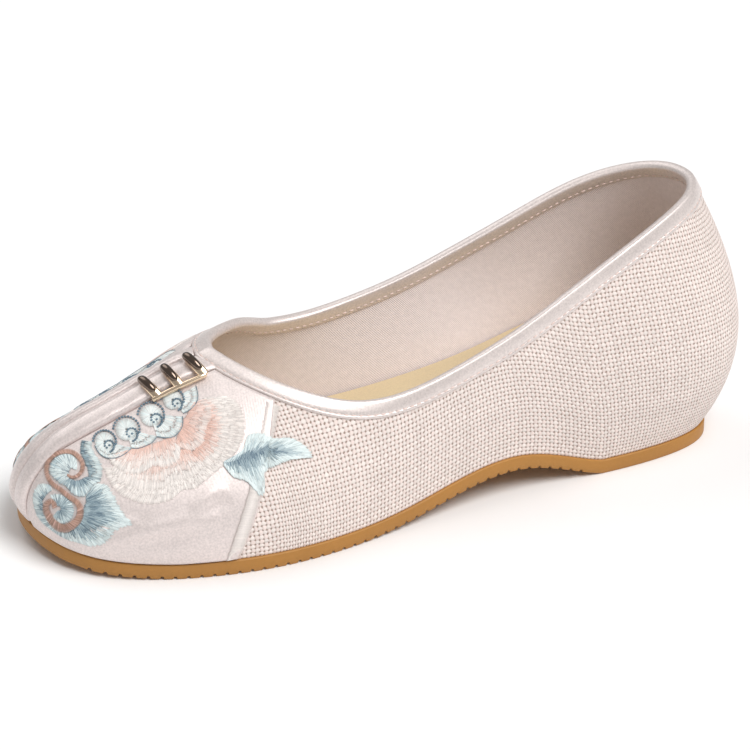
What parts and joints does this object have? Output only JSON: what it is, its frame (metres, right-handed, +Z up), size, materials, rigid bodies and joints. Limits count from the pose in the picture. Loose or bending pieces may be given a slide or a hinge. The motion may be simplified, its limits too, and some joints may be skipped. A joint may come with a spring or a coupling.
{
  "type": "casual shoe",
  "caption": "Slip-on embroidered cloth flat: linen upper, satin toe panels, paired padded toe beams, bound collar, hidden heel lift and ribbed gum rubber outsole.",
  "frame": {"origin": "middle of the bounding box, on the floor under the outsole", "axes": "+X from toe to heel along the shoe, +Y to the medial side, +Z up"},
  "size_m": [0.2574, 0.0902, 0.092],
  "materials": {
    "gum_rubber": "matt moulded gum rubber",
    "insole_cloth": "matt cloth over foam",
    "linen": "coarse plain weave",
    "satin": "satin sheen",
    "pale_gold": "polished pale gold plate"
  },
  "bodies": {
    "root": {"outsole": "gum_rubber", "insole": "insole_cloth", "upper": "linen", "collar_binding": "satin", "toe_beam_lateral": "satin", "toe_beam_medial": "satin", "vamp_lateral": "satin", "vamp_medial": "satin", "ornament": "pale_gold"}
  },
  "joints": []
}
